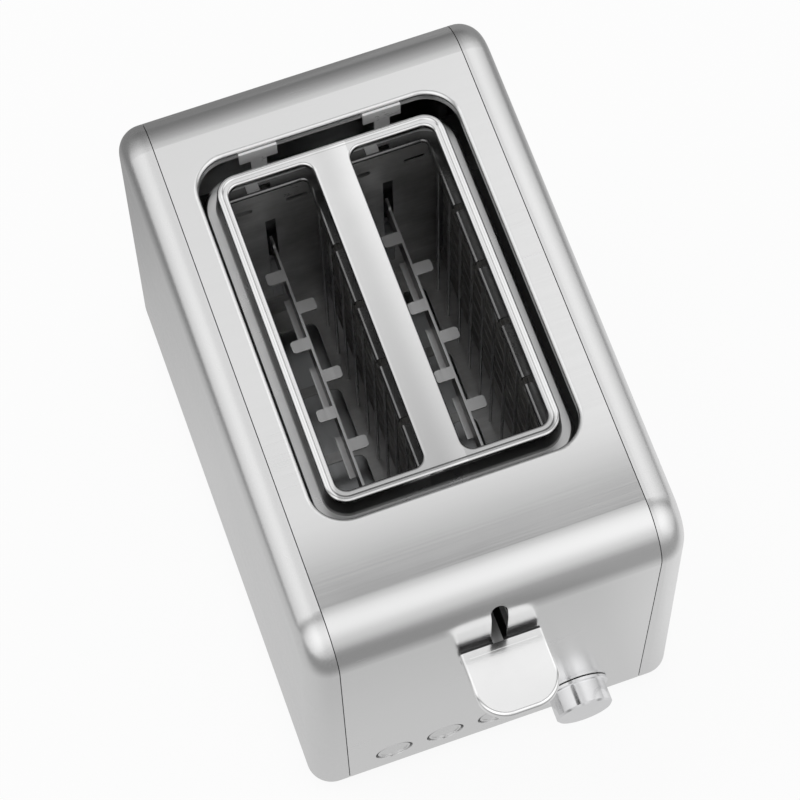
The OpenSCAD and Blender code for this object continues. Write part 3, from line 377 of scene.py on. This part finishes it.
# What the metal mirrors of the floor: full level up to this distance in front of and
# behind the middle, then a fall over this reach, between these levels
FLOOR_LIT = 0.13
FLOOR_REACH = (0.02, 0.20)
FLOOR_LEVELS = (0.64, 0.31)
# Share of that level at the back and on the right, and the runs over which it comes in
FLOOR_BACK = 0.75
BACK_RUN = (0.05, 0.2)
FLOOR_RIGHT = 1.3
RIGHT_RUN = (0.07, 0.12)
# Half sizes of the floor's shaded patch under the toaster, and the blur of its edge
SHADE_HALF_X = 0.08
SHADE_HALF_Y = 0.10
SHADE_BLUR = 0.004
# Share of plain white in the floor that the camera sees, the rest being its shadow
FLOOR_WHITE = 0.92
FLOOR_HALF = 6.0
FLOOR_Z = -0.0002


def floor_material():
    """White floor that keeps a soft shadow, and is dimmer to the metal than to the camera."""
    m, t = new_tree("studio_floor_white")
    grain = t.noise(t.coords(), 40.0, 3.0, 0.5)
    path = t.add("ShaderNodeLightPath").outputs
    x, y, _ = t.split(t.coords())
    far_x, far_y = t.math("ABSOLUTE", x), t.math("ABSOLUTE", y)
    fall = t.remap(t.math("SUBTRACT", far_y, FLOOR_LIT), 0.0, 1.0, *FLOOR_REACH)
    level = t.remap(fall, *FLOOR_LEVELS, 0.0, 1.0)
    level = t.math("MULTIPLY", level, t.remap(y, 1.0, FLOOR_BACK, *BACK_RUN))
    level = t.math("MULTIPLY", level, t.remap(x, 1.0, FLOOR_RIGHT, *RIGHT_RUN))
    diffuse = t.emitter("ShaderNodeBsdfDiffuse",
                        Color=t.mix(grain, grey(0.86), grey(0.88)))
    mirrored = t.emitter("ShaderNodeEmission", Strength=level)
    white = t.emitter("ShaderNodeEmission")
    floor = t.choose(path["Is Glossy Ray"], diffuse, mirrored)
    # the floor right under the toaster, seen through its vents, stays in shade
    outside = t.math("MAXIMUM", t.math("SUBTRACT", far_x, SHADE_HALF_X),
                     t.math("SUBTRACT", far_y, SHADE_HALF_Y))
    open_floor = t.remap(outside, 0.0, FLOOR_WHITE, 0.0, SHADE_BLUR)
    seen = t.math("MULTIPLY", path["Is Camera Ray"], open_floor)
    t.output("ShaderNodeOutputMaterial", t.choose(seen, floor, white))
    return m


def plane(name, size, z, material):
    mesh = bpy.data.meshes.new(name)
    b = bmesh.new()
    bmesh.ops.create_grid(b, x_segments=8, y_segments=8, size=size)
    bmesh.ops.translate(b, verts=b.verts, vec=(0, 0, z))
    b.to_mesh(mesh)
    b.free()
    o = bpy.data.objects.new(name, mesh)
    bpy.context.scene.collection.objects.link(o)
    mesh.materials.append(material)


plane("studio_floor", FLOOR_HALF, FLOOR_Z, floor_material())

# ---------------------------------------------------------------- studio light

# What the metal mirrors of the studio, as (degrees from the zenith, level). From the back
# horizon to the front one: a wall that brightens upwards, the rear softbox, a dark gap,
# the broad front softbox and the wall under it
SKY = [(-100, 0.1), (-70, 0.2), (-50, 0.4), (-35, 0.6), (-20, 1.15), (-12, 0.8), (-5, 0.0),
       (3, 0.7), (15, 0.95), (35, 1.05), (50, 1.0), (65, 0.7), (100, 0.35)]
# From the left horizon to the right one: a softbox on either side of a dimmer middle
SIDE = [(-100, 1.0), (-75, 1.2), (-50, 1.5), (-20, 1.65), (3, 0.95), (20, 1.75), (50, 1.45),
        (75, 1.1), (100, 0.8)]
RAMP_END = 100.0
# A ramp holds colours up to 1, so its levels are kept as shares of this one
RAMP_TOP = 2.0
# Least height that the side angle counts with, which keeps it steady at the horizon
SIDE_LOW = 0.02
DOME_GREY = 0.9
DOME_LEVEL = 0.75


def level_at(t, angle, stops):
    """Smooth level over an angle in radians, from stops in degrees."""
    n = t.add("ShaderNodeValToRGB")
    t.put(n.inputs[0], t.remap(t.math("DEGREES", angle), 0.0, 1.0, -RAMP_END, RAMP_END))
    n.color_ramp.interpolation = "B_SPLINE"
    elements = n.color_ramp.elements
    while len(elements) < len(stops):
        elements.new(0.5)
    for item, (degrees, level) in zip(elements, stops):
        item.position = (degrees + RAMP_END) / (2 * RAMP_END)
        item.color = (*grey(level / RAMP_TOP), 1.0)
    return t.math("MULTIPLY", n.outputs[0], RAMP_TOP)


def build_world():
    """Softboxes for the metal, a white backdrop for the camera, an even dome for the rest."""
    world = bpy.data.worlds.new("studio")
    bpy.context.scene.world = world
    t = Tree(world)
    x, y, z = t.split(t.add("ShaderNodeTexCoord").outputs["Generated"])
    off_axis = t.math("SQRT", t.math("ADD", t.math("MULTIPLY", x, x),
                                     t.math("MULTIPLY", z, z)))
    front = t.math("ARCTAN2", t.math("MULTIPLY", y, -1.0), off_axis)
    side = t.math("ARCTAN2", x, t.math("MAXIMUM", z, SIDE_LOW))
    level = t.math("MULTIPLY", level_at(t, front, SKY), level_at(t, side, SIDE))
    path = t.add("ShaderNodeLightPath").outputs
    dome = t.emitter("ShaderNodeBackground", Color=(*grey(DOME_GREY), 1.0),
                     Strength=DOME_LEVEL)
    boxes = t.emitter("ShaderNodeBackground", Strength=level)
    white = t.emitter("ShaderNodeBackground")
    lit = t.choose(path["Is Glossy Ray"], dome, boxes)
    t.output("ShaderNodeOutputWorld", t.choose(path["Is Camera Ray"], lit, white))


build_world()


def area(name, location, target, size, power):
    light = bpy.data.lights.new(name, "AREA")
    light.shape = "RECTANGLE"
    light.size, light.size_y = size
    light.energy = power
    o = bpy.data.objects.new(name, light)
    bpy.context.scene.collection.objects.link(o)
    o.location = location
    aim = Vector(target) - Vector(location)
    o.rotation_euler = aim.to_track_quat("-Z", "Y").to_euler()
    o.visible_glossy = False


area("key_overhead", (-0.3, 0.5, 1.9), (0, 0, 0.1), (1.2, 1.0), 7.0)

# ---------------------------------------------------------------- camera

# Fitted to the straight edges and seams: a long lens from above the control end
CAM_AT = Vector((-0.1655, -0.4969, 1.4640))
CAM_TO = Vector((-0.0100, -0.0194, 0.1980))
CAM_ROLL = math.radians(-1.66)
LENS_MM = 141.165
SENSOR_MM = 36.0

forward = (CAM_TO - CAM_AT).normalized()
level_right = forward.cross(Vector((0, 0, 1))).normalized()
level_up = level_right.cross(forward)
right = level_right * math.cos(CAM_ROLL) + level_up * math.sin(CAM_ROLL)
up = level_up * math.cos(CAM_ROLL) - level_right * math.sin(CAM_ROLL)
cam = bpy.data.cameras.new("camera")
cam.sensor_width = SENSOR_MM
cam.lens = LENS_MM
cam.clip_end = 30.0
cam_obj = bpy.data.objects.new("camera", cam)
bpy.context.scene.collection.objects.link(cam_obj)
cam_obj.matrix_world = Matrix.Translation(CAM_AT) @ Matrix(
    (right, up, -forward)).transposed().to_4x4()
bpy.context.scene.camera = cam_obj

bpy.context.scene.view_settings.view_transform = "Standard"
